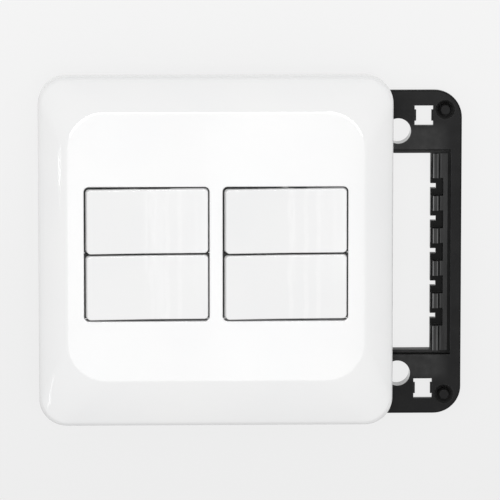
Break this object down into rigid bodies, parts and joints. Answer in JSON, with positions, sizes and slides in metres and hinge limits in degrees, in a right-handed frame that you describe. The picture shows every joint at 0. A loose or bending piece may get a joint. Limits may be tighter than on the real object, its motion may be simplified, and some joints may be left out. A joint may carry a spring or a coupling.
{
  "type": "light switch",
  "caption": "Wall light switch with wide side-by-side rockers in a white cover plate, laid on its black moulded support frame.",
  "frame": {"origin": "centre of the fixing holes on the support frame's back", "axes": "+X to the right and +Y up the switch, seen from the front; +Z out of the wall to the user"},
  "size_m": [0.1444, 0.1193, 0.0336],
  "materials": {
    "frame_black": "satin moulded",
    "plate_white": "polished",
    "key_white": "polished",
    "housing_grey": "fine moulded",
    "base_grey": "fine moulded",
    "plunger_white": "plain",
    "spring_steel": "drawn wire",
    "contact_copper": "stamped",
    "terminal_brass": "stamped",
    "screw_steel": "zinc plated",
    "clamp_steel": "zinc plated"
  },
  "bodies": {
    "frame_and_cover": {"support_frame": "frame_black", "cover_plate": "plate_white", "housing_top_left": "housing_grey", "base_top_left": "base_grey", "common_terminal_top_left": "terminal_brass", "switched_terminal_top_left": "terminal_brass", "terminal_screws_top_left": "screw_steel", "clamp_plates_top_left": "clamp_steel", "housing_top_right": "housing_grey", "base_top_right": "base_grey", "common_terminal_top_right": "terminal_brass", "switched_terminal_top_right": "terminal_brass", "terminal_screws_top_right": "screw_steel", "clamp_plates_top_right": "clamp_steel", "housing_bottom_left": "housing_grey", "base_bottom_left": "base_grey", "common_terminal_bottom_left": "terminal_brass", "switched_terminal_bottom_left": "terminal_brass", "terminal_screws_bottom_left": "screw_steel", "clamp_plates_bottom_left": "clamp_steel", "housing_bottom_right": "housing_grey", "base_bottom_right": "base_grey", "common_terminal_bottom_right": "terminal_brass", "switched_terminal_bottom_right": "terminal_brass", "terminal_screws_bottom_right": "screw_steel", "clamp_plates_bottom_right": "clamp_steel"},
    "rocker_top_left": {"rocker_top_left": "key_white", "plunger_top_left": "plunger_white", "spring_top_left": "spring_steel"},
    "contact_top_left": {"rocking_contact_top_left": "contact_copper"},
    "rocker_top_right": {"rocker_top_right": "key_white", "plunger_top_right": "plunger_white", "spring_top_right": "spring_steel"},
    "contact_top_right": {"rocking_contact_top_right": "contact_copper"},
    "rocker_bottom_left": {"rocker_bottom_left": "key_white", "plunger_bottom_left": "plunger_white", "spring_bottom_left": "spring_steel"},
    "contact_bottom_left": {"rocking_contact_bottom_left": "contact_copper"},
    "rocker_bottom_right": {"rocker_bottom_right": "key_white", "plunger_bottom_right": "plunger_white", "spring_bottom_right": "spring_steel"},
    "contact_bottom_right": {"rocking_contact_bottom_right": "contact_copper"}
  },
  "joints": [
    {"name": "rocker_top_left_pivot", "type": "hinge", "parent": "frame_and_cover", "child": "rocker_top_left", "pos_m": [-0.0528, 0.01465, 0.0274], "axis": [0, -1, 0], "range_deg": [0, 7]},
    {"name": "contact_top_left_pivot", "type": "hinge", "parent": "frame_and_cover", "child": "contact_top_left", "pos_m": [-0.0528, 0.01465, 0.0175], "axis": [0, -1, 0], "range_deg": [-9.9, 0.1]},
    {"name": "rocker_top_right_pivot", "type": "hinge", "parent": "frame_and_cover", "child": "rocker_top_right", "pos_m": [-0.006, 0.01465, 0.0274], "axis": [0, -1, 0], "range_deg": [0, 7]},
    {"name": "contact_top_right_pivot", "type": "hinge", "parent": "frame_and_cover", "child": "contact_top_right", "pos_m": [-0.006, 0.01465, 0.0175], "axis": [0, -1, 0], "range_deg": [-9.9, 0.1]},
    {"name": "rocker_bottom_left_pivot", "type": "hinge", "parent": "frame_and_cover", "child": "rocker_bottom_left", "pos_m": [-0.0528, -0.00785, 0.0274], "axis": [0, -1, 0], "range_deg": [0, 7]},
    {"name": "contact_bottom_left_pivot", "type": "hinge", "parent": "frame_and_cover", "child": "contact_bottom_left", "pos_m": [-0.0528, -0.00785, 0.0175], "axis": [0, -1, 0], "range_deg": [-9.9, 0.1]},
    {"name": "rocker_bottom_right_pivot", "type": "hinge", "parent": "frame_and_cover", "child": "rocker_bottom_right", "pos_m": [-0.006, -0.00785, 0.0274], "axis": [0, -1, 0], "range_deg": [0, 7]},
    {"name": "contact_bottom_right_pivot", "type": "hinge", "parent": "frame_and_cover", "child": "contact_bottom_right", "pos_m": [-0.006, -0.00785, 0.0175], "axis": [0, -1, 0], "range_deg": [-9.9, 0.1]}
  ],
  "couplings": [
    {"joint": "contact_top_left_pivot", "follows": "rocker_top_left_pivot", "ratio": -1.4},
    {"joint": "contact_top_right_pivot", "follows": "rocker_top_right_pivot", "ratio": -1.4},
    {"joint": "contact_bottom_left_pivot", "follows": "rocker_bottom_left_pivot", "ratio": -1.4},
    {"joint": "contact_bottom_right_pivot", "follows": "rocker_bottom_right_pivot", "ratio": -1.4}
  ]
}
